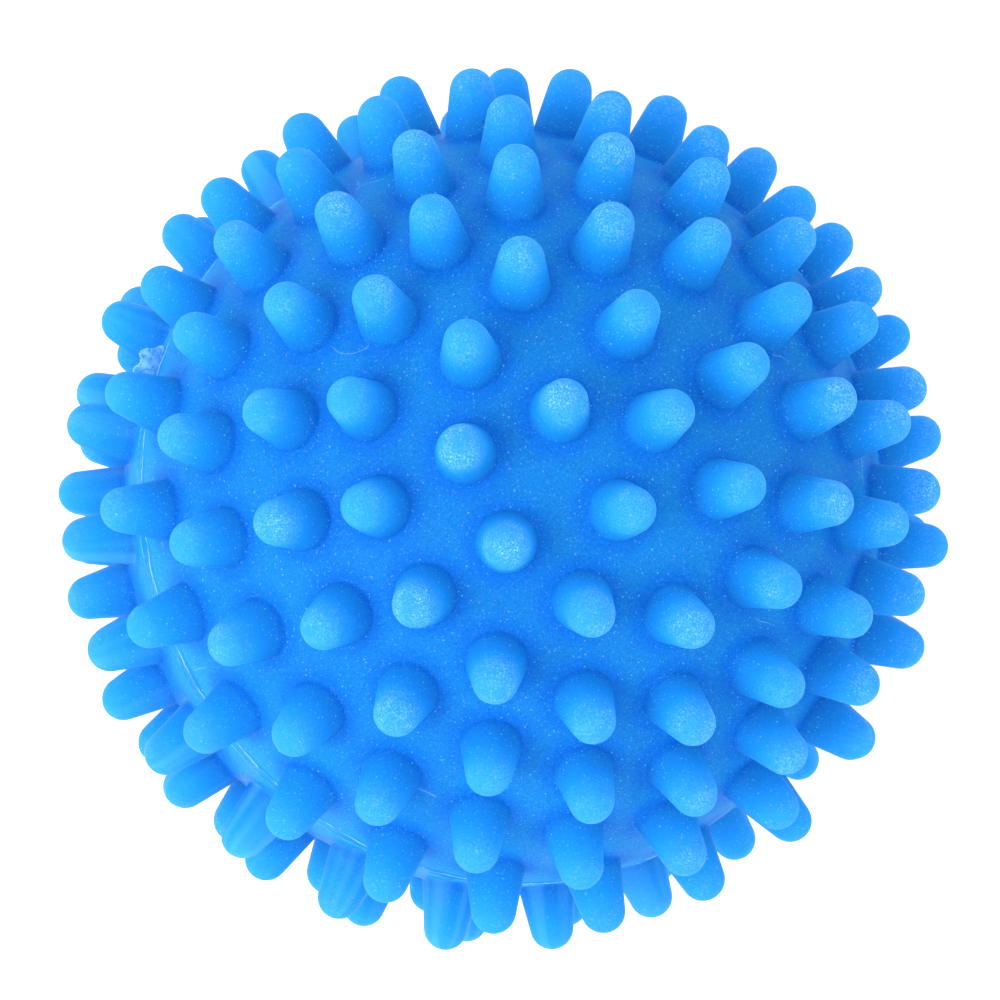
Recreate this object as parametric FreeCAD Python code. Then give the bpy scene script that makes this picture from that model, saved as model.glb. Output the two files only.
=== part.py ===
import FreeCAD, Part
import math
import os

# Tumble-dryer ball: a hollow ball of soft PVC with 202 round-ended nubs all over it.
# It is moulded as two half shells that are welded together at a V-shaped seam.
#
# Frame: origin at the centre of the ball, +Z up as the ball lies on three nub tips.
# The mould axis leans away from +Z, so the parting plane leans by the same angle.
# Lengths are in millimetres and angles in degrees.

# ---- half shells ----
BODY_R = 27.5                # outside radius of the hollow body
WALL = 3.0                   # wall thickness of both half shells
RIM_CHAMFER = 0.9            # each rim is chamfered outside, to hold the weld bead

# ---- nubs ----
NUB_HEIGHT = 4.8             # nub tip above the body
NUB_TIP_R = 1.58             # radius of the round end
NUB_ROOT_R = 2.15            # radius where the nub meets the body

# ---- weld bead along the seam: a flat band between two fine ridges ----
BEAD_RIDGE_R = 27.68
BEAD_RIDGE_OFFSET = 0.7      # each ridge to the parting plane
BEAD_BAND_R = 27.53
BEAD_BAND_OFFSET = 0.5       # each edge of the flat band to the parting plane

# ---- torn remnant of mould flash, standing on the seam ----
TAG_AZIMUTH = 136.5          # position round the mould axis
TAG_THICKNESS = 0.5
TAG_ROOT_R = 27.2            # starts inside the body surface and is trimmed to fit it
# outline of the torn edge: distance along the seam, height above the body
TAG_OUTLINE = [
    (-1.6, 0.4),
    (-1.2, 0.9),
    (-0.7, 1.7),
    (0.0, 1.45),
    (0.6, 1.75),
    (1.3, 1.6),
    (1.8, 0.9),
]

# ---- how the ball lies ----
MOULD_TILT = 21.5            # mould axis away from +Z
MOULD_AZIMUTH = 24.7         # the side that the mould axis leans to, from +X

# ---- nub rings of each half, from the mould axis out to the seam ----
# name, polar angle, number of nubs, azimuth of the first nub, ring centre off the axis
UPPER_RINGS = [
    ("pole_nub", 0.0, 1, 0.0, (0.0, 0.0)),
    ("nubs_ring_1", 13.5, 5, 7.0, (0.0, 0.0)),
    ("nubs_ring_2", 27.0, 12, -15.0, (0.0, 0.0)),
    ("nubs_ring_3", 40.5, 17, -18.5, (0.0, 0.0)),
    ("nubs_ring_4", 52.5, 20, -28.5, (0.0, 0.0)),
    ("nubs_ring_5", 66.0, 23, -34.0, (-1.0, 1.0)),
    ("nubs_ring_6", 81.0, 23, -12.0, (0.0, 0.0)),
]
LOWER_RINGS = [
    ("pole_nub", 0.0, 1, 0.0, (0.0, 0.0)),
    ("nubs_ring_1", 13.5, 5, 7.0, (0.0, 0.0)),
    ("nubs_ring_2", 27.0, 12, -15.0, (0.0, 0.0)),
    ("nubs_ring_3", 43.0, 17, -18.5, (0.0, 0.0)),
    ("nubs_ring_4", 58.5, 20, -20.5, (-1.5, 2.0)),
    ("nubs_ring_5", 70.5, 23, -34.0, (-0.5, 1.5)),
    ("nubs_ring_6", 81.0, 23, -12.0, (0.0, 0.0)),
]

ORIGIN = FreeCAD.Vector(0, 0, 0)
AXIS_Y = FreeCAD.Vector(0, 1, 0)
AXIS_Z = FreeCAD.Vector(0, 0, 1)

CAVITY_R = BODY_R - WALL
TIP_CENTRE_R = BODY_R + NUB_HEIGHT - NUB_TIP_R

LEAN = FreeCAD.Rotation(AXIS_Z, MOULD_AZIMUTH).multiply(
    FreeCAD.Rotation(AXIS_Y, MOULD_TILT))


def point(radius, height):
    """A point of a half section: radius from the axis, height along it."""
    return FreeCAD.Vector(radius, 0, height)


def round_point(centre_z, radius, elevation):
    """A point on a circle about the axis point centre_z, at an elevation in degrees."""
    a = math.radians(elevation)
    return point(radius * math.cos(a), centre_z + radius * math.sin(a))


def line(start, end):
    return Part.LineSegment(start, end).toShape()


def arc(centre_z, radius, first, last):
    """An arc of the half section about a point on the axis, between two elevations."""
    middle = (first + last) / 2
    return Part.Arc(round_point(centre_z, radius, first),
                    round_point(centre_z, radius, middle),
                    round_point(centre_z, radius, last)).toShape()


def turned(edges):
    """The solid that a closed half section sweeps round the Z axis."""
    face = Part.Face(Part.Wire(edges))
    return face.revolve(ORIGIN, AXIS_Z, 360)


def laid(shape):
    """Lean a shape from the mould axis to the way the ball lies."""
    placed = shape.copy()
    placed.Placement = FreeCAD.Placement(ORIGIN, LEAN).multiply(placed.Placement)
    return placed


def export(name, shape):
    laid(shape).exportStep("parts/" + name + ".step")


def half_shell():
    """The half above the parting plane, with its chamfered rim at z = 0."""
    rim = math.degrees(math.asin(RIM_CHAMFER / BODY_R))
    return turned([
        line(point(0, CAVITY_R), point(0, BODY_R)),
        arc(0, BODY_R, 90, rim),
        line(round_point(0, BODY_R, rim), point(BODY_R - RIM_CHAMFER, 0)),
        line(point(BODY_R - RIM_CHAMFER, 0), point(CAVITY_R, 0)),
        arc(0, CAVITY_R, 0, 90),
    ])


def nub():
    """One nub along +Z: a cone that runs smoothly into a round end."""
    root = math.degrees(math.acos(NUB_ROOT_R / BODY_R))
    root_z = BODY_R * math.sin(math.radians(root))
    drop = TIP_CENTRE_R - root_z
    # elevation on the round end where the straight flank touches it
    touch = math.degrees(math.acos(NUB_TIP_R / math.hypot(NUB_ROOT_R, drop))
                         - math.atan2(drop, NUB_ROOT_R))
    return turned([
        arc(0, BODY_R, 90, root),
        line(point(NUB_ROOT_R, root_z), round_point(TIP_CENTRE_R, NUB_TIP_R, touch)),
        arc(TIP_CENTRE_R, NUB_TIP_R, touch, 90),
        line(point(0, BODY_R + NUB_HEIGHT), point(0, BODY_R)),
    ])


def nub_direction(polar, azimuth, off_axis):
    """Unit vector of a nub on the upper half, for a ring whose centre may sit off axis."""
    p = math.radians(polar)
    a = math.radians(azimuth)
    direction = FreeCAD.Vector(
        math.sin(p) * math.cos(a) + off_axis[0] / TIP_CENTRE_R,
        math.sin(p) * math.sin(a) + off_axis[1] / TIP_CENTRE_R,
        math.cos(p))
    return direction.normalize()


def nub_ring(polar, count, first, off_axis, side):
    """The nubs of one ring as separate solids; side is 1 above the seam and -1 below."""
    one_nub = nub()
    nubs = []
    for k in range(count):
        direction = nub_direction(polar, first + 360.0 * k / count, off_axis)
        direction.z = direction.z * side
        placed = one_nub.copy()
        placed.Placement = FreeCAD.Placement(ORIGIN, FreeCAD.Rotation(AXIS_Z, direction))
        nubs.append(placed)
    if count == 1:
        return nubs[0]
    return Part.makeCompound(nubs)


def seam_bead():
    """The weld bead: fills the V between the two chamfered rims."""
    rim = math.degrees(math.asin(RIM_CHAMFER / BODY_R))
    section = [
        point(BODY_R - RIM_CHAMFER, 0),
        round_point(0, BODY_R, rim),
        point(BEAD_RIDGE_R, BEAD_RIDGE_OFFSET),
        point(BEAD_BAND_R, BEAD_BAND_OFFSET),
        point(BEAD_BAND_R, -BEAD_BAND_OFFSET),
        point(BEAD_RIDGE_R, -BEAD_RIDGE_OFFSET),
        round_point(0, BODY_R, -rim),
    ]
    corners = section + [section[0]]
    return turned([line(a, b) for a, b in zip(corners, corners[1:])])


def flash_tag(bead):
    """A thin torn flap that stands out along the parting plane."""
    first = TAG_OUTLINE[0][0]
    last = TAG_OUTLINE[-1][0]
    outline = [FreeCAD.Vector(TAG_ROOT_R, first, 0)]
    for along, height in TAG_OUTLINE:
        outline.append(FreeCAD.Vector(BODY_R + height, along, 0))
    outline.append(FreeCAD.Vector(TAG_ROOT_R, last, 0))
    outline.append(outline[0])
    face = Part.Face(Part.makePolygon(outline))
    flap = face.extrude(FreeCAD.Vector(0, 0, TAG_THICKNESS))
    flap.translate(FreeCAD.Vector(0, 0, -TAG_THICKNESS / 2))
    flap = flap.cut(Part.makeSphere(BODY_R))
    flap.rotate(ORIGIN, AXIS_Z, TAG_AZIMUTH)
    return flap.cut(bead).Solids[0]


os.makedirs("parts", exist_ok=True)

upper_half_shell = half_shell()
lower_half_shell = upper_half_shell.mirror(ORIGIN, AXIS_Z)
export("upper_half_shell", upper_half_shell)
export("lower_half_shell", lower_half_shell)

for half, side, rings in (("upper_", 1, UPPER_RINGS), ("lower_", -1, LOWER_RINGS)):
    for ring_name, polar, count, first, off_axis in rings:
        export(half + ring_name, nub_ring(polar, count, first, off_axis, side))

bead = seam_bead()
export("seam_bead", bead)
export("flash_tag", flash_tag(bead))
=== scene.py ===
"""Dryer ball: a hollow ball of soft blue PVC with round-ended nubs, moulded as two halves.

The two halves are one continuous skin each, with the nubs run into the shell by small fillets.
A weld bead with two fine ridges and a torn scrap of flash lie along the seam between them.
Lengths are written in millimetres and turned into metres where the meshes are made. Shapes are
built about the mould axis, with the seam at z = 0, and then leaned to the way the ball lies.
"""
import math
import random

import bpy
import numpy as np
from mathutils import Matrix, Vector
from mathutils.geometry import delaunay_2d_cdt


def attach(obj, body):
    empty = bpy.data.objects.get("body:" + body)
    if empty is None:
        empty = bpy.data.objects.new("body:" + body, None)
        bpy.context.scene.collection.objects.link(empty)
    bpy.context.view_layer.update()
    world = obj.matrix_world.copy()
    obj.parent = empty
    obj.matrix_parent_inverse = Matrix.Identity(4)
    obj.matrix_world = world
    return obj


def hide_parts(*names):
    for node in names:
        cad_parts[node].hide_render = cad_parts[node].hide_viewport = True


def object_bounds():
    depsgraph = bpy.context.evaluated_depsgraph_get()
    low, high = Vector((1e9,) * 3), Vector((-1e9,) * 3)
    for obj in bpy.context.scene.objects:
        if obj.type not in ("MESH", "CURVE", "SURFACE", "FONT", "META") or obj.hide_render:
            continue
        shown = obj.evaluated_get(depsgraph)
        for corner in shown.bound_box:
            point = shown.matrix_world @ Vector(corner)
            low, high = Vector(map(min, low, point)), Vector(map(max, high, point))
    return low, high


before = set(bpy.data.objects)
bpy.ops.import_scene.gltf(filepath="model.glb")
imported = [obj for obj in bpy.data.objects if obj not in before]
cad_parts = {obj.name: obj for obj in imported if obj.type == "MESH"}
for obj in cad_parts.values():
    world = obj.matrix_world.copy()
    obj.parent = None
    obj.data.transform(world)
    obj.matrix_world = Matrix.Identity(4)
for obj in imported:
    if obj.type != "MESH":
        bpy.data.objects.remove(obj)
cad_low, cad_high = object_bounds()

MM = 0.001

# ---- the same sizes as the CAD ----
BODY_R = 27.5
WALL = 3.0
RIM_CHAMFER = 0.9
NUB_HEIGHT = 4.8
NUB_TIP_R = 1.58
NUB_ROOT_R = 2.15
TAG_AZIMUTH = 136.5
MOULD_TILT = 21.5
MOULD_AZIMUTH = 24.7
# polar angle, number of nubs, azimuth of the first nub, ring centre off the axis
UPPER_RINGS = [
    (0.0, 1, 0.0, (0.0, 0.0)),
    (13.5, 5, 7.0, (0.0, 0.0)),
    (27.0, 12, -15.0, (0.0, 0.0)),
    (40.5, 17, -18.5, (0.0, 0.0)),
    (52.5, 20, -28.5, (0.0, 0.0)),
    (66.0, 23, -34.0, (-1.0, 1.0)),
    (81.0, 23, -12.0, (0.0, 0.0)),
]
LOWER_RINGS = [
    (0.0, 1, 0.0, (0.0, 0.0)),
    (13.5, 5, 7.0, (0.0, 0.0)),
    (27.0, 12, -15.0, (0.0, 0.0)),
    (43.0, 17, -18.5, (0.0, 0.0)),
    (58.5, 20, -20.5, (-1.5, 2.0)),
    (70.5, 23, -34.0, (-0.5, 1.5)),
    (81.0, 23, -12.0, (0.0, 0.0)),
]
CAVITY_R = BODY_R - WALL
TIP_CENTRE_R = BODY_R + NUB_HEIGHT - NUB_TIP_R
RIM_ELEVATION = math.asin(RIM_CHAMFER / BODY_R)
RIM_R = BODY_R * math.cos(RIM_ELEVATION)

# ---- the fine ridges of the weld, as they show: each ridge and each edge of the flat band ----
RIDGE_OFFSET = 0.54
BAND_OFFSET = 0.36
RIDGE_FLANK = 0.06

# ---- how much the soft nubs differ, and which of them show flow lines ----
NUB_GROWTH = 0.008           # spread of the height, as a share of it
NUB_SWAY = 0.07              # spread of where the tip stands
LAST_RESTING_RING = 2        # the ball lies on the lower nubs up to this ring
FIRST_STREAKED_RING = 5      # flow lines show on the lower nubs from this ring on
GROWS_FROM = 0.15            # share of the height below which every nub is the same
NUB_APART = 37.0             # spreads the nubs' own numbers, so that their flow lines differ

# ---- seeds of the random numbers ----
UPPER_SEED = 5
LOWER_SEED = 6
BEAD_SEED = 41
FLASH_SEED = 11

# ---- fineness of the meshes ----
ROOT_FILLET = 0.25
FILLET_STEPS = 4
FLANK_STEPS = 3
CAP_STEPS = 8
NUB_SIDES = 36
RIM_SIDES = 288
SHELL_STEP = 0.8
SHELL_PACKING = 0.87         # area of the shell to each point, in squares of the step
SHELL_MARGIN = 0.4           # least way from a point to the rim or a root, in steps
INNER_ROWS = 14
BEAD_SIDES = 1440
FLASH_ACROSS = 48
FLASH_UP = 18

LEAN = (Matrix.Rotation(math.radians(MOULD_AZIMUTH), 3, "Z")
        @ Matrix.Rotation(math.radians(MOULD_TILT), 3, "Y"))
TO_ROW = np.array(LEAN) * MM
MOULD_AXIS = LEAN @ Vector((0, 0, 1))


def turns(sides):
    """Unit circle of evenly spaced points."""
    a = np.arange(sides) * 2 * math.pi / sides
    return np.stack([np.cos(a), np.sin(a)], 1)


NUB_TURNS = turns(NUB_SIDES)


# ---------------------------------------------------------------- shapes

def nub_section():
    """Half section of a nub from the shell outwards: rows of radius and height."""
    root_z = math.sqrt(BODY_R ** 2 - NUB_ROOT_R ** 2)
    drop = TIP_CENTRE_R - root_z
    lean = (math.acos(NUB_TIP_R / math.hypot(NUB_ROOT_R, drop))
            - math.atan2(drop, NUB_ROOT_R))
    out = np.array([math.cos(lean), math.sin(lean)])
    down = np.array([math.sin(lean), -math.cos(lean)])
    tip_centre = np.array([0.0, TIP_CENTRE_R])
    # centre of the root fillet: beside the flank and above the shell by its radius
    start = tip_centre + (NUB_TIP_R + ROOT_FILLET) * out
    along = start @ down
    reach = -along - math.sqrt(along ** 2 - start @ start + (BODY_R + ROOT_FILLET) ** 2)
    centre = start + reach * down
    first = math.atan2(-centre[1], -centre[0])
    last = math.atan2(-out[1], -out[0])
    if last > first:
        last -= 2 * math.pi
    rows = []
    for k in range(FILLET_STEPS + 1):
        a = first + (last - first) * k / FILLET_STEPS
        rows.append(centre + ROOT_FILLET * np.array([math.cos(a), math.sin(a)]))
    flank_start = rows[-1]
    flank_end = tip_centre + NUB_TIP_R * out
    for k in range(1, FLANK_STEPS + 1):
        rows.append(flank_start + (flank_end - flank_start) * k / FLANK_STEPS)
    for k in range(1, CAP_STEPS):
        a = lean + (math.pi / 2 - lean) * k / CAP_STEPS
        rows.append(tip_centre + NUB_TIP_R * np.array([math.cos(a), math.sin(a)]))
    return np.array(rows)


def nub_frames(rings):
    """The nubs of one half: number of the ring, direction, and two axes across it."""
    frames = []
    for ring, (polar, count, first, off) in enumerate(rings):
        p = math.radians(polar)
        for k in range(count):
            a = math.radians(first + 360.0 * k / count)
            d = Vector((math.sin(p) * math.cos(a) + off[0] / TIP_CENTRE_R,
                        math.sin(p) * math.sin(a) + off[1] / TIP_CENTRE_R,
                        math.cos(p)))
            d = np.array(d.normalized())
            e1 = np.cross(d, [0.3, 0.5, -0.8])
            e1 /= np.linalg.norm(e1)
            frames.append((ring, d, e1, np.cross(d, e1)))
    return frames


def flat(p):
    """Stereographic projection of points on the body onto the parting plane."""
    unit = p / np.linalg.norm(p, axis=-1, keepdims=True)
    return unit[..., :2] / (1 + unit[..., 2:])


def circle(radius, height, sides):
    """A circle about the mould axis; radius and height may be one value to each point."""
    return np.column_stack([np.expand_dims(radius, -1) * turns(sides), np.full(sides, height)])


def add_points(store, points):
    """Appends points to a list of arrays and returns their numbers."""
    first = sum(len(p) for p in store)
    store.append(np.asarray(points, float))
    return np.arange(first, first + len(points))


def bridge(lower, upper):
    """Quads between two closed loops of vertex numbers."""
    return [(lower[i - 1], lower[i], upper[i], upper[i - 1]) for i in range(len(lower))]


class Skin:
    """The points and faces of one half, and what its material reads at each point."""

    def __init__(self):
        self.points = []
        self.faces = []
        # height, own number, streak, and the three values of the place about the nub
        self.marks = []

    def add(self, points, height=0.0, own=0.5, streak=0.0, about=(0.0, 0.0, 0.0)):
        numbers = add_points(self.points, points)
        marks = np.empty((len(numbers), 6))
        marks[:, 0], marks[:, 1], marks[:, 2], marks[:, 3:] = height, own, streak, about
        self.marks.append(marks)
        return numbers

    def made(self, name, side, sharp):
        """The finished object, turned over where it is the lower half."""
        co = np.concatenate(self.points)
        faces = self.faces
        if side < 0:
            co[:, 2] *= -1
            faces = [face[::-1] for face in faces]
        mesh = new_mesh(name, co, faces)
        marks = np.concatenate(self.marks)
        put_values(mesh, "nub_height", marks[:, 0])
        put_values(mesh, "nub_own", marks[:, 1])
        put_values(mesh, "nub_streak", marks[:, 2])
        put_vectors(mesh, "nub_about", marks[:, 3:])
        smooth(mesh, sharp)
        return new_object(name, mesh)


def outer_shell(skin, frames, section):
    """The shell between the rim and the nub roots; returns the rim's loop and the roots'."""
    rim = skin.add(circle(RIM_R, RIM_CHAMFER, RIM_SIDES))
    roots = []
    for ring, d, e1, e2 in frames:
        around = NUB_TURNS @ np.stack([e1, e2])
        roots.append(skin.add(section[0, 0] * around + section[0, 1] * d))

    # points spread evenly over the shell, away from the rim and the nub roots
    count = int(2 * math.pi * BODY_R ** 2 / (SHELL_STEP ** 2 * SHELL_PACKING))
    k = np.arange(count)
    z = 1 - (k + 0.5) / count
    a = k * math.pi * (3 - math.sqrt(5))
    spread = np.stack([np.sqrt(1 - z * z) * np.cos(a), np.sqrt(1 - z * z) * np.sin(a), z], 1)
    directions = np.array([d for ring, d, e1, e2 in frames])
    nearest = np.arccos(np.clip(spread @ directions.T, -1, 1)).min(1)
    root_angle = math.atan2(section[0, 0], section[0, 1])
    margin = SHELL_MARGIN * SHELL_STEP / BODY_R
    keep = (nearest > root_angle + margin) & (z > math.sin(RIM_ELEVATION + margin))
    skin.add(spread[keep] * BODY_R)

    # below zero on the shell: the distance from the nearest nub root
    shell = np.concatenate(skin.points)
    unit = shell / np.linalg.norm(shell, axis=1, keepdims=True)
    away = np.arccos(np.clip(unit @ directions.T, -1, 1)).min(1) - root_angle
    skin.marks = [np.concatenate(skin.marks)]
    skin.marks[0][:, 0] = -np.maximum(away, 0) * BODY_R / NUB_HEIGHT

    loops = [rim] + roots
    edges = [(int(loop[i - 1]), int(loop[i])) for loop in loops for i in range(len(loop))]
    _, _, cells, was, _, _ = delaunay_2d_cdt([Vector(q) for q in flat(shell)], edges, [], 0, 1e-9)
    owner = np.full(len(shell), -1)
    for number, loop in enumerate(roots):
        owner[loop] = number
    source = [ids[0] for ids in was]
    for cell in cells:
        ids = [source[v] for v in cell]
        number = owner[ids[0]]
        inside_a_root = number >= 0 and all(owner[v] == number for v in ids)
        if not inside_a_root:
            skin.faces.append(tuple(ids))
    return rim, roots


def grow_nubs(skin, frames, roots, section, side, rng):
    """Rows of points up each nub, from its root loop to its tip."""
    shell_marks = skin.marks[0]
    for (ring, d, e1, e2), before in zip(frames, roots):
        # the nubs that the ball lies on keep their exact height
        loose = 0.0 if side < 0 and ring <= LAST_RESTING_RING else 1.0
        grow = 1 + loose * rng.normal(0, NUB_GROWTH)
        sway = loose * (rng.normal(0, NUB_SWAY) * e1 + rng.normal(0, NUB_SWAY) * e2)
        own = rng.random()
        streak = 0.25 + 0.75 * rng.random() if side < 0 and ring >= FIRST_STREAKED_RING else 0.0
        about = np.column_stack([NUB_TURNS, np.full(NUB_SIDES, own * NUB_APART)])
        shell_marks[before, 1] = own
        shell_marks[before, 2] = streak
        shell_marks[before, 3:] = about
        around = NUB_TURNS @ np.stack([e1, e2])
        for radius, z_row in section[1:]:
            h = (z_row - BODY_R) / NUB_HEIGHT
            rise = BODY_R + (z_row - BODY_R) * (grow if h > GROWS_FROM else 1)
            h = max(h, 0)
            row = skin.add(radius * around + rise * d + sway * h ** 1.5, h, own, streak, about)
            skin.faces += bridge(before, row)
            before = row
        tip = skin.add([(BODY_R + NUB_HEIGHT * grow) * d + sway], 1.0, own, streak,
                       (0, 0, own * NUB_APART))
        skin.faces += [(before[i - 1], before[i], tip[0]) for i in range(NUB_SIDES)]


def line_inside(skin, rim):
    """The chamfered rim, the flat rim and the inside of the wall; returns the sharp loops."""
    chamfer = skin.add(circle(BODY_R - RIM_CHAMFER, 0, RIM_SIDES), -1.0)
    inner = skin.add(circle(CAVITY_R, 0, RIM_SIDES), -1.0)
    skin.faces += bridge(chamfer, rim)
    skin.faces += bridge(inner, chamfer)
    before = inner
    for k in range(1, INNER_ROWS):
        a = math.pi / 2 * k / INNER_ROWS
        row = skin.add(circle(CAVITY_R * math.cos(a), CAVITY_R * math.sin(a), RIM_SIDES), -1.0)
        skin.faces += bridge(row, before)
        before = row
    pole = skin.add([(0, 0, CAVITY_R)], -1.0)
    skin.faces += [(before[i], before[i - 1], pole[0]) for i in range(RIM_SIDES)]
    return [rim, chamfer, inner]


def half_skin(name, rings, side, seed):
    """One half: outer shell with its nubs, the chamfered rim and the inside of the wall."""
    rng = np.random.default_rng(seed)
    section = nub_section()
    frames = nub_frames(rings)
    skin = Skin()
    rim, roots = outer_shell(skin, frames, section)
    grow_nubs(skin, frames, roots, section, side, rng)
    sharp = line_inside(skin, rim)
    return skin.made(name, side, sharp)


def new_mesh(name, points, faces):
    """A mesh from points about the mould axis, in millimetres."""
    mesh = bpy.data.meshes.new(name)
    mesh.from_pydata((points @ TO_ROW.T).tolist(), [], [tuple(int(v) for v in f) for f in faces])
    return mesh


def new_object(name, data):
    made = bpy.data.objects.new(name, data)
    bpy.context.scene.collection.objects.link(made)
    return made


def put_values(mesh, name, values):
    data = mesh.attributes.new(name, "FLOAT", "POINT").data
    data.foreach_set("value", values.astype(np.float32))


def put_vectors(mesh, name, values):
    data = mesh.attributes.new(name, "FLOAT_VECTOR", "POINT").data
    data.foreach_set("vector", values.astype(np.float32).ravel())


def smooth(mesh, sharp_loops=()):
    """Smooth shading, but for the edges along the given closed loops of vertices."""
    mesh.polygons.foreach_set("use_smooth", [True] * len(mesh.polygons))
    pairs = set()
    for loop in sharp_loops:
        for i in range(len(loop)):
            pairs.add(frozenset((int(loop[i - 1]), int(loop[i]))))
    for edge in mesh.edges:
        if frozenset(edge.vertices) in pairs:
            edge.use_edge_sharp = True
    mesh.validate()
    mesh.update()


def wander(rng, count, waves):
    """A smooth closed random line of count values, about -1 to 1."""
    a = np.arange(count) * 2 * math.pi / count
    line = np.zeros(count)
    for w in waves:
        line += rng.normal(0, 1) * np.cos(w * a) + rng.normal(0, 1) * np.sin(w * a)
    return line / math.sqrt(len(waves))


def uneven(rng, count):
    """A ridge's rise and fall: long waves and short ones."""
    return (wander(rng, count, range(5, 60, 3)) * 0.5
            + wander(rng, count, range(60, 300, 7)) * 0.35)


def weld_bead():
    """The weld along the seam: a flat band between two fine, uneven ridges of flash."""
    rng = np.random.default_rng(BEAD_SEED)
    n = BEAD_SIDES
    upper = uneven(rng, n)
    lower = uneven(rng, n)
    shift_up = wander(rng, n, range(2, 12)) * 0.03
    shift_low = wander(rng, n, range(2, 12)) * 0.035
    crest_up = np.clip(0.10 + 0.045 * upper, 0.02, 0.21)
    crest_low = np.clip(0.06 + 0.05 * lower, 0.012, 0.20)
    # radius, distance from the parting plane, and how much of a crest it is
    rows = [
        (BODY_R - RIM_CHAMFER, 0, 0),
        (RIM_R, RIM_CHAMFER, 0),
        (RIM_R + 0.018, RIM_CHAMFER - 0.07, 0.1),
        (BODY_R + 0.2 * crest_up, RIDGE_OFFSET + RIDGE_FLANK + shift_up, 0.3),
        (BODY_R + crest_up, RIDGE_OFFSET + shift_up, 1),
        (BODY_R + 0.2 * crest_up, RIDGE_OFFSET - RIDGE_FLANK + shift_up, 0.3),
        (BODY_R + 0.01, BAND_OFFSET, 0),
        (BODY_R + 0.02, 0.2, 0),
        (BODY_R + 0.02, -0.2, 0),
        (BODY_R + 0.01, -BAND_OFFSET, 0),
        (BODY_R + 0.2 * crest_low, -RIDGE_OFFSET + RIDGE_FLANK + shift_low, 0.3),
        (BODY_R + crest_low, -RIDGE_OFFSET + shift_low, 0.7),
        (BODY_R + 0.2 * crest_low, -RIDGE_OFFSET - RIDGE_FLANK + shift_low, 0.3),
        (RIM_R + 0.018, -RIM_CHAMFER + 0.07, 0.1),
        (RIM_R, -RIM_CHAMFER, 0),
    ]
    points = []
    crest = []
    loops = []
    for radius, z, shown in rows:
        loops.append(add_points(points, circle(radius, z, n)))
        crest.append(np.full(n, float(shown)))
    faces = []
    for k in range(len(loops)):
        faces += bridge(loops[k], loops[k - 1])
    mesh = new_mesh("seam_weld", np.concatenate(points), faces)
    put_values(mesh, "crest", np.concatenate(crest))
    upper_crest, lower_crest = loops[4], loops[11]
    smooth(mesh, [loops[0], loops[1], loops[-1], upper_crest, lower_crest])
    return new_object("seam_weld", mesh)


def torn_flash():
    """A thin torn film of plastic standing out of the seam, thickest at its root."""
    rng = random.Random(FLASH_SEED)
    across, up = FLASH_ACROSS, FLASH_UP
    sunk = 0.12                  # how far its root reaches into the weld
    # torn edge: distance along the seam, height above the body
    outline = [(-1.75, 0.35), (-1.3, 0.8), (-0.95, 1.55), (-0.5, 1.66), (0.0, 1.44),
               (0.55, 1.72), (1.1, 1.55), (1.45, 1.6), (1.75, 0.8)]
    xs = np.linspace(outline[0][0], outline[-1][0], across)
    top = np.interp(xs, [p[0] for p in outline], [p[1] for p in outline])
    top = np.clip(top + np.array([rng.uniform(-0.07, 0.07) for _ in xs]), 0.1, 1.76)
    phase = [rng.uniform(-0.5, 0.5) for _ in range(4)]
    points = []
    torn = []
    for face_side in (1, -1):
        for j in range(up):
            v = j / (up - 1)
            for i, x in enumerate(xs):
                u = i / (across - 1)
                r = BODY_R - sunk + (top[i] + sunk) * v
                bow = 0.10 * v * (math.sin(5.0 * u + phase[0])
                                  + 0.6 * math.sin(11.0 * u + 3 * v + phase[1]))
                fold = 0.05 * v * math.sin(26.0 * u + 4.0 * v + phase[2])
                thick = 0.16 * (1 - v) ** 0.7 + 0.035 + 0.02 * math.sin(19 * u + phase[3])
                points.append((r, x * (r / BODY_R), bow + fold + face_side * thick / 2))
                torn.append(v)
    grid = across * up
    faces = []
    for first in (0, grid):
        for j in range(up - 1):
            for i in range(across - 1):
                q = first + j * across + i
                quad = (q, q + across, q + across + 1, q + 1)
                faces.append(quad if first == 0 else quad[::-1])
    border = ([i for i in range(across)]
              + [j * across + across - 1 for j in range(1, up)]
              + [(up - 1) * across + i for i in range(across - 2, -1, -1)]
              + [j * across for j in range(up - 2, 0, -1)])
    for k in range(len(border)):
        p, q = border[k - 1], border[k]
        faces.append((p, q, q + grid, p + grid))
    spin = np.array(Matrix.Rotation(math.radians(TAG_AZIMUTH), 3, "Z"))
    mesh = new_mesh("seam_flash", np.array(points) @ spin.T, faces)
    put_values(mesh, "torn", np.array(torn))
    smooth(mesh)
    return new_object("seam_flash", mesh)


# ---------------------------------------------------------------- materials

# colours are linear red, green and blue; scales of noises and cells are per metre
# painted sheen: the red in the shell, nub and worn blues is raised in place of part of the
# specular reflection
SHELL_BLUES = (0.0058, 0.146, 0.465, 1), (0.0068, 0.169, 0.505, 1)
# painted light: the paler band beside the seam stands in for the light the shell catches there
BESIDE_SEAM_LIT_BLUE = (0.014, 0.245, 0.66, 1)
# partly painted light: paler up the nubs for the light the thin standing nubs catch and pass,
# partly frosted plastic
NUB_BLUE_AND_LIGHT = (0.0095, 0.259, 0.74, 1)
WORN_AND_SHEEN_BLUE = (0.022, 0.230, 0.70, 1)
# painted shade: the deeper blue about the nub roots stands in for the shade in the creases
ROOT_SHADE_BLUE = (0.0002, 0.099, 0.56, 1)
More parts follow.
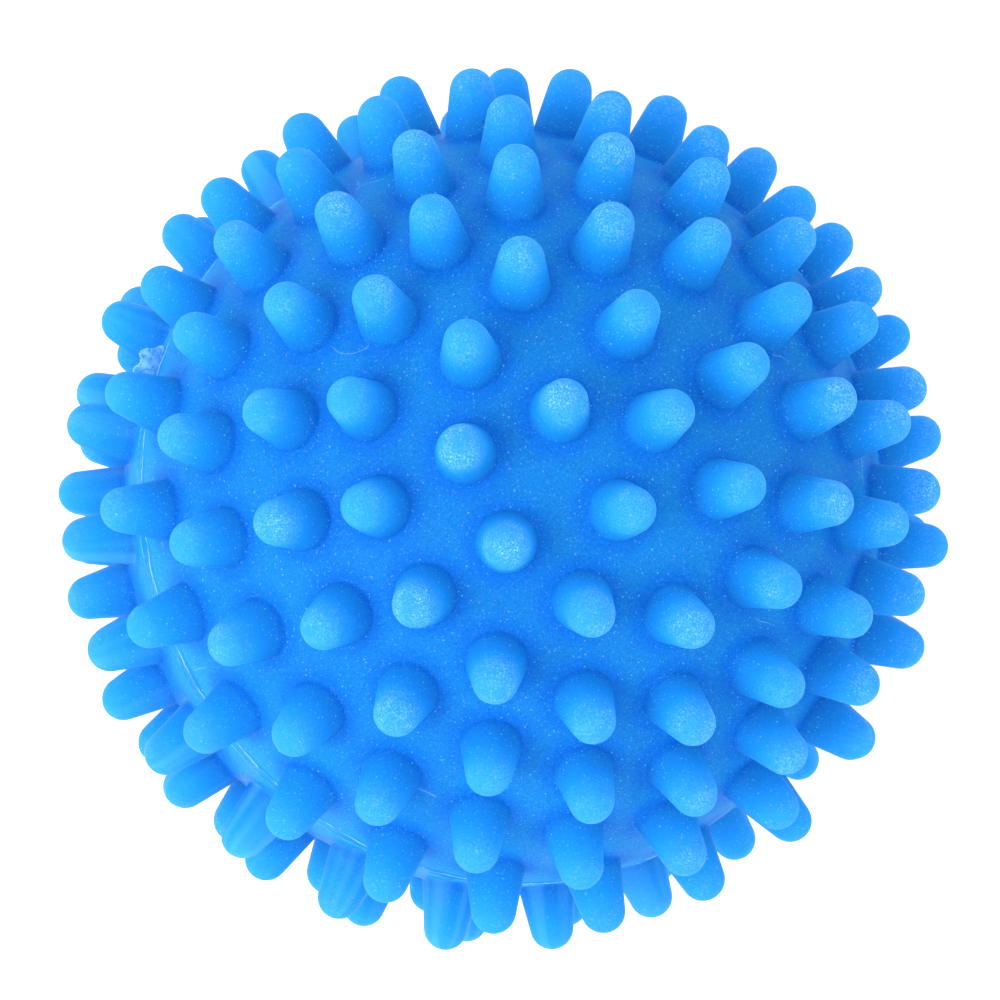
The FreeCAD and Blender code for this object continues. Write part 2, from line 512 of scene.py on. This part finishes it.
# partly painted glints: the pale grain on the round ends is the plastic's grain together with
# painted glints
GRAIN_AND_GLINT_PALE = (0.28, 0.61, 0.98, 1)
SPECK_PALE = (0.32, 0.72, 0.98, 1)
FLOW_PALE = (0.10, 0.42, 0.95, 1)
HAIR_PALE = (0.30, 0.62, 0.98, 1)
SPECK_DARK = (0.012, 0.035, 0.16, 1)
SPLIT_DARK = (0.001, 0.03, 0.20, 1)
SEAM_BLUES = (0.004, 0.180, 0.57, 1), (0.008, 0.212, 0.61, 1)
SEAM_SPECK = (0.42, 0.78, 0.98, 1)
# partly painted highlight: the whitish ridge crests are whitened thin flash together with a
# painted highlight
RIDGE_PALE_AND_HIGHLIGHT = (0.36, 0.66, 0.93, 1)
FLASH_CLEAR = (0.05, 0.34, 0.82, 1)
FLASH_MILKY = (0.23, 0.50, 0.88, 1)
FLOOR_WHITES = (0.89, 0.885, 0.88, 1), (0.91, 0.905, 0.90, 1)

PLASTIC_IOR = 1.5
PVC_SCATTER = (0.25, 0.7, 1.4)
FILM_SCATTER = (0.6, 0.9, 1.3)


class Nodes:
    """Short calls for building a material's node tree."""

    def __init__(self, name):
        self.material = bpy.data.materials.new(name)
        self.material.use_nodes = True
        self.tree = self.material.node_tree
        self.tree.nodes.clear()
        out = self.new("ShaderNodeOutputMaterial")
        self.shader = self.new("ShaderNodeBsdfPrincipled")
        self.tree.links.new(self.shader.outputs[0], out.inputs["Surface"])
        self.place = self.new("ShaderNodeTexCoord").outputs["Object"]

    def new(self, kind):
        return self.tree.nodes.new(kind)

    def put(self, socket, value):
        """Link or set a socket; None leaves it as it is."""
        if isinstance(value, bpy.types.NodeSocket):
            self.tree.links.new(value, socket)
        elif value is not None:
            socket.default_value = value

    def set(self, name, value):
        self.put(self.shader.inputs[name], value)

    def math(self, operation, a, b=None, clamp=False):
        node = self.new("ShaderNodeMath")
        node.operation = operation
        node.use_clamp = clamp
        for socket, value in zip(node.inputs, (a, b)):
            self.put(socket, value)
        return node.outputs[0]

    def times(self, a, *others):
        """The product of two or more values."""
        for b in others:
            a = self.math("MULTIPLY", a, b)
        return a

    def plus(self, a, *others):
        """The sum of two or more values."""
        for b in others:
            a = self.math("ADD", a, b)
        return a

    def less(self, a, b):
        return self.math("SUBTRACT", a, b)

    def vector(self, operation, a, b):
        node = self.new("ShaderNodeVectorMath")
        node.operation = operation
        self.put(node.inputs[0], a)
        self.put(node.inputs[1], b)
        return node.outputs["Value"] if operation == "DOT_PRODUCT" else node.outputs[0]

    def scaled(self, a, factor):
        node = self.new("ShaderNodeVectorMath")
        node.operation = "SCALE"
        self.put(node.inputs[0], a)
        self.put(node.inputs["Scale"], factor)
        return node.outputs[0]

    def ramp(self, value, low, high, to_low=0.0, to_high=1.0, smooth=True):
        """Value from low to high becomes to_low to to_high, held beyond them."""
        node = self.new("ShaderNodeMapRange")
        node.interpolation_type = "SMOOTHSTEP" if smooth else "LINEAR"
        for socket, v in zip(node.inputs, (value, low, high, to_low, to_high)):
            self.put(socket, v)
        return node.outputs[0]

    def mix(self, factor, a, b, blend="MIX"):
        node = self.new("ShaderNodeMix")
        node.data_type = "RGBA"
        node.blend_type = blend
        self.put(node.inputs[0], factor)
        self.put(node.inputs[6], a)
        self.put(node.inputs[7], b)
        return node.outputs[2]

    def grey(self, value):
        node = self.new("ShaderNodeCombineColor")
        for socket in node.inputs:
            self.put(socket, value)
        return node.outputs[0]

    def noise_node(self, scale, detail, rough=0.5, place=None, distortion=0.0):
        node = self.new("ShaderNodeTexNoise")
        self.put(node.inputs["Vector"], place or self.place)
        self.put(node.inputs["Scale"], scale)
        self.put(node.inputs["Detail"], detail)
        self.put(node.inputs["Roughness"], rough)
        self.put(node.inputs["Distortion"], distortion)
        return node

    def noise(self, *settings, **more):
        return self.noise_node(*settings, **more).outputs["Fac"]

    def shaken(self, scale, reach):
        """The place, shifted a little to and fro by a noise."""
        shift = self.noise_node(scale, 1.0).outputs["Color"]
        shift = self.vector("SUBTRACT", shift, (0.5, 0.5, 0.5))
        return self.vector("ADD", self.place, self.scaled(shift, reach))

    def cells(self, scale):
        node = self.new("ShaderNodeTexVoronoi")
        self.put(node.inputs["Vector"], self.place)
        self.put(node.inputs["Scale"], scale)
        return node

    def cracks(self, scale, place, inner, outer):
        """Thin lines between cells: 1 up to the inner distance, 0 from the outer one."""
        node = self.new("ShaderNodeTexVoronoi")
        node.feature = "DISTANCE_TO_EDGE"
        self.put(node.inputs["Vector"], place)
        self.put(node.inputs["Scale"], scale)
        return self.ramp(node.outputs["Distance"], inner, outer, 1.0, 0.0)

    def specks(self, scale, small, large, share):
        """Round specks, one to a cell at most: 0 to 1, with each speck's own strength."""
        node = self.cells(scale)
        own = self.new("ShaderNodeSeparateColor")
        self.put(own.inputs[0], node.outputs["Color"])
        size = self.ramp(own.outputs[0], 0.0, 1.0, small, large, smooth=False)
        inside = self.math("SUBTRACT", 1.0, self.math("DIVIDE", node.outputs["Distance"], size),
                           clamp=True)
        inside = self.ramp(inside, 0.0, 0.6)
        there = self.math("LESS_THAN", own.outputs[1], share)
        strength = self.ramp(own.outputs[2], 0.0, 1.0, 0.35, 1.0, smooth=False)
        return self.times(inside, there, strength)

    def attribute(self, name, output="Fac"):
        node = self.new("ShaderNodeAttribute")
        node.attribute_name = name
        return node.outputs[output]

    def bump(self, height, distance, normal=None):
        node = self.new("ShaderNodeBump")
        node.inputs["Strength"].default_value = 1.0
        node.inputs["Distance"].default_value = distance
        self.put(node.inputs["Height"], height)
        self.put(node.inputs["Normal"], normal)
        return node.outputs[0]

    def plastic(self, specular, scatter, weight, reach):
        """Set what stays the same all over a piece of plastic."""
        self.set("IOR", PLASTIC_IOR)
        self.set("Specular IOR Level", specular)
        self.set("Subsurface Weight", weight)
        self.set("Subsurface Radius", scatter)
        self.set("Subsurface Scale", reach)


def ball_material():
    """Soft blue PVC; nub_height is 0 at a nub's root, 1 at its tip and below 0 on the shell."""
    n = Nodes("ball_pvc")
    height = n.attribute("nub_height")
    own = n.attribute("nub_own")
    streak = n.attribute("nub_streak")
    up = n.ramp(height, 0.0, 0.70, smooth=False)
    tip = n.ramp(height, 0.45, 1.0)
    # root: the mask of the painted shade about the nub roots
    root = n.times(n.ramp(height, -0.28, 0.0), n.ramp(height, 0.0, 0.16, 1.0, 0.0))
    shell = n.ramp(height, 0.0, 0.1, 1.0, 0.0)
    from_seam = n.math("ABSOLUTE", n.vector("DOT_PRODUCT", n.place, tuple(MOULD_AXIS)))

    # base colour: a saturated blue, slightly uneven, with a little red that is painted sheen;
    # paler beside the seam as painted light, paler up the nubs partly as painted light, worn at
    # the round ends, and darker about the roots as painted shade
    blue = n.mix(n.ramp(n.noise(95.0, 3.0), 0.3, 0.7), *SHELL_BLUES)
    # painted light: a paler band of shell beside the seam
    seam_band_light = n.times(n.ramp(from_seam, 1.0 * MM, 5.5 * MM, 1.0, 0.0), shell)
    blue = n.mix(n.times(seam_band_light, 0.6), blue, BESIDE_SEAM_LIT_BLUE)
    # partly painted light: the nubs paler from root to tip
    blue = n.mix(up, blue, NUB_BLUE_AND_LIGHT)
    # the worn round ends, their red partly a painted sheen
    worn_and_sheen = n.times(tip, n.ramp(own, 0.0, 1.0, 0.6, 1.0, smooth=False))
    blue = n.mix(worn_and_sheen, blue, WORN_AND_SHEEN_BLUE)
    # painted shade about the nub roots
    blue = n.mix(n.times(root, 0.45), blue, ROOT_SHADE_BLUE)
    mottle = n.ramp(n.noise(7200.0, 1.0), 0.30, 0.70, -0.15, 0.15, smooth=False)
    mottle = n.times(mottle, n.ramp(height, 0.0, 0.3, 1.0, 0.3))
    blue = n.mix(1.0, blue, n.grey(n.plus(mottle, 1.0)), "MULTIPLY")

    # a grain of pale specks on the round ends, in patches, weaker towards the seam: partly the
    # plastic's grain, partly painted glints
    grain_and_glints = n.times(n.ramp(n.noise(8500.0, 1.0), 0.48, 0.64), 0.35)
    grain_and_glints = n.math("MAXIMUM", grain_and_glints, n.times(n.specks(3700.0, 0.24, 0.44, 0.95), 0.75))
    grain_and_glints = n.math("MAXIMUM", grain_and_glints, n.times(n.specks(5600.0, 0.26, 0.46, 0.8), 0.5))
    grain_and_glints = n.math("MAXIMUM", grain_and_glints, n.specks(1900.0, 0.12, 0.24, 0.7))
    grain_and_glints = n.times(grain_and_glints,
                    n.ramp(height, 0.42, 0.88),
                    n.ramp(n.noise(620.0, 1.0), 0.38, 0.60, 0.25, 1.0),
                    n.ramp(own, 0.1, 0.9, 0.4, 1.0, smooth=False),
                    n.ramp(from_seam, 8.0 * MM, 22.0 * MM, 0.25, 1.0))
    colour = n.mix(n.times(grain_and_glints, 0.85), blue, GRAIN_AND_GLINT_PALE)

    # sparse pale mineral specks everywhere, fewer where flow lines show
    sparse = n.specks(2500.0, 0.10, 0.23, 0.85)
    faint = n.specks(4300.0, 0.16, 0.36, 0.85)
    pale = n.times(n.plus(n.times(sparse, 0.36), n.times(faint, 0.15)),
                   n.less(1.0, n.times(streak, 0.75)))
    colour = n.mix(pale, colour, SPECK_PALE)

    # flow lines along the nubs next to the seam
    along = n.vector("ADD", n.attribute("nub_about", "Vector"), n.scaled(n.place, 25.0))
    lines = n.times(n.ramp(n.noise(1.7, 0.0, place=along), 0.42, 0.68), streak)
    colour = n.mix(n.times(lines, 0.32), colour, FLOW_PALE)

    # a few dark specks, hair-thin pale scratches, and dark splits at roots near the seam
    dark = n.specks(640.0, 0.03, 0.075, 0.5)
    colour = n.mix(n.times(dark, 0.75), colour, SPECK_DARK)
    bent = n.shaken(260.0, 0.004)
    hair = n.times(n.cracks(83.0, bent, 0.0025, 0.0055),
                   n.ramp(n.noise(190.0, 1.0), 0.66, 0.70), shell)
    colour = n.mix(n.times(hair, 0.18), colour, HAIR_PALE)
    split = n.times(n.cracks(57.0, bent, 0.0022, 0.0042),
                    n.ramp(n.noise(140.0, 1.0), 0.58, 0.62),
                    n.ramp(root, 0.1, 0.5),
                    n.ramp(from_seam, 8.0 * MM, 14.0 * MM, 1.0, 0.0))
    colour = n.mix(n.times(split, 0.6), colour, SPLIT_DARK)
    n.set("Base Color", colour)

    rough = n.ramp(n.noise(420.0, 3.0), 0.3, 0.7, 0.50, 0.60)
    rough = n.plus(rough, n.times(tip, 0.05))
    rough = n.less(rough, n.times(streak, 0.12))
    rough = n.less(rough, n.times(pale, 0.10))
    n.set("Roughness", rough)
    n.plastic(0.03, PVC_SCATTER, 0.3, 0.5 * MM)

    relief = n.plus(n.times(n.noise(5200.0, 2.0), 0.3), n.times(grain_and_glints, 0.7),
                    n.times(sparse, 0.5), n.times(hair, 0.4))
    waves = n.bump(n.noise(330.0, 2.0), 0.05 * MM)
    n.set("Normal", n.bump(relief, 0.02 * MM, waves))
    return n.material


def seam_material():
    """The weld: a paler PVC, with the crests of its ridges whitish in places, partly whitened
    thin flash and partly painted highlight.
    """
    n = Nodes("seam_pvc")
    blue = n.mix(n.ramp(n.noise(260.0, 3.0), 0.35, 0.65), *SEAM_BLUES)
    broken = n.ramp(n.noise(800.0, 2.0), 0.40, 0.58, 0.15, 1.0)
    # partly painted highlight along the ridge crests
    thin_and_lit = n.times(n.ramp(n.attribute("crest"), 0.35, 1.0), broken)
    colour = n.mix(n.times(thin_and_lit, 0.65), blue, RIDGE_PALE_AND_HIGHLIGHT)
    sparse = n.specks(2200.0, 0.10, 0.22, 0.6)
    colour = n.mix(n.times(sparse, 0.35), colour, SEAM_SPECK)
    n.set("Base Color", colour)
    n.set("Roughness", n.ramp(n.noise(900.0, 2.0), 0.3, 0.7, 0.45, 0.58))
    n.plastic(0.07, PVC_SCATTER, 0.3, 0.4 * MM)
    n.set("Normal", n.bump(n.noise(1500.0, 2.0), 0.02 * MM))
    return n.material


def flash_material():
    """A thin milky film, clearer and bluer at its root."""
    n = Nodes("flash_film")
    fibres = n.noise(1400.0, 4.0, 0.6, distortion=1.5)
    streaky = n.noise(520.0, 3.0, 0.55, distortion=0.6)
    milk = n.ramp(n.plus(n.times(fibres, 0.6), n.times(streaky, 0.4)), 0.36, 0.62)
    milk = n.times(milk, n.ramp(n.attribute("torn"), 0.0, 0.5, 0.35, 1.0))
    n.set("Base Color", n.mix(milk, FLASH_CLEAR, FLASH_MILKY))
    n.set("Alpha", n.ramp(milk, 0.0, 0.8, 0.45, 0.90))
    n.set("Roughness", n.ramp(fibres, 0.3, 0.7, 0.3, 0.55))
    n.plastic(0.2, FILM_SCATTER, 0.6, 0.4 * MM)
    n.set("Normal", n.bump(fibres, 0.03 * MM))
    return n.material


def floor_material():
    n = Nodes("floor_white")
    n.set("Base Color", n.mix(n.noise(3.0, 2.0), *FLOOR_WHITES))
    n.set("Roughness", 0.85)
    n.set("Specular IOR Level", 0.1)
    return n.material


# ---------------------------------------------------------------- the ball

pvc = ball_material()
ring_names = ["pole_nub"] + ["nubs_ring_%d" % k for k in range(1, len(UPPER_RINGS))]
for half, rings, side, seed in (("upper", UPPER_RINGS, 1, UPPER_SEED),
                                ("lower", LOWER_RINGS, -1, LOWER_SEED)):
    skin = half_skin(half + "_half", rings, side, seed)
    skin.data.materials.append(pvc)
    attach(skin, "root")
    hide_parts(half + "_half_shell", *[half + "_" + name for name in ring_names])

weld = weld_bead()
weld.data.materials.append(seam_material())
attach(weld, "root")
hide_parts("seam_bead")

flash = torn_flash()
flash.data.materials.append(flash_material())
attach(flash, "root")
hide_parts("flash_tag")

# ---------------------------------------------------------------- studio, in metres

FLOOR_HALF = 1.5
# brightness of the studio towards a direction: the sum of each weight times x^i y^j z^k
SKY = [(1.50, 0, 0, 0), (0.10, 1, 0, 0), (-0.22, 0, 1, 0), (0.20, 0, 0, 1),
       (-0.35, 0, 0, 2), (-0.50, 1, 0, 1), (-0.16, 0, 1, 1)]
SKY_SCALE = 1.185
SKY_COLOUR = (1.0, 0.99, 0.975, 1)
KEY_PLACE = (-0.17, -0.06, 0.24)
KEY_SIZE = 0.16
KEY_WATTS = 0.45
CAMERA_FROM_CENTRE = 320.85 * MM
CAMERA_RIGHT = Vector((0.999469, -0.001710, 0.032545))
CAMERA_UP = Vector((-0.000201, 0.998280, 0.058631))
CAMERA_LENS = 158.5
CAMERA_SENSOR = 36.0
CAMERA_SHIFT = (-0.003, 0.0081)
CAMERA_CLIP_START = 0.01


def flat_floor(z):
    low, high = -FLOOR_HALF, FLOOR_HALF
    mesh = bpy.data.meshes.new("floor")
    corners = [(low, low, z), (high, low, z), (high, high, z), (low, high, z)]
    mesh.from_pydata(corners, [], [(0, 1, 2, 3)])
    mesh.materials.append(floor_material())
    return new_object("floor", mesh)


def studio_world():
    """Soft light from all round, strongest from the left and from the front."""
    made = bpy.data.worlds.new("studio")
    made.use_nodes = True
    tree = made.node_tree
    place = tree.nodes.new("ShaderNodeTexCoord")
    parts = tree.nodes.new("ShaderNodeSeparateXYZ")
    tree.links.new(place.outputs["Generated"], parts.inputs[0])

    def sum_or_product(operation, a, b):
        node = tree.nodes.new("ShaderNodeMath")
        node.operation = operation
        for socket, value in zip(node.inputs, (a, b)):
            if isinstance(value, float):
                socket.default_value = value
            else:
                tree.links.new(value, socket)
        return node.outputs[0]

    total = 0.0
    for weight, *powers in SKY:
        term = weight * SKY_SCALE
        for axis, power in zip(parts.outputs, powers):
            for _ in range(power):
                term = sum_or_product("MULTIPLY", axis, term)
        total = sum_or_product("ADD", term, total)
    background = tree.nodes["Background"]
    background.inputs["Color"].default_value = SKY_COLOUR
    tree.links.new(total, background.inputs["Strength"])
    return made


def key_light():
    """A soft round light, near and to the upper left, turned to the ball."""
    data = bpy.data.lights.new("key", "AREA")
    data.shape = "DISK"
    data.size = KEY_SIZE
    data.energy = KEY_WATTS
    lamp = new_object("key", data)
    lamp.location = KEY_PLACE
    lamp.rotation_euler = (-Vector(KEY_PLACE)).to_track_quat("-Z", "Y").to_euler()


def photo_camera():
    """High above the ball, looking almost straight down, as in the photograph."""
    data = bpy.data.cameras.new("camera")
    data.sensor_width = CAMERA_SENSOR
    data.lens = CAMERA_LENS
    data.shift_x, data.shift_y = CAMERA_SHIFT
    data.clip_start = CAMERA_CLIP_START
    back = CAMERA_RIGHT.cross(CAMERA_UP)
    turn = Matrix((CAMERA_RIGHT, CAMERA_UP, back)).transposed().to_4x4()
    made = new_object("camera", data)
    made.matrix_world = Matrix.Translation(back * CAMERA_FROM_CENTRE) @ turn
    return made


floor = flat_floor(cad_low.z)

scene = bpy.context.scene
scene.world = studio_world()
key_light()
scene.camera = photo_camera()
scene.view_settings.view_transform = "Standard"
scene.view_settings.look = "None"
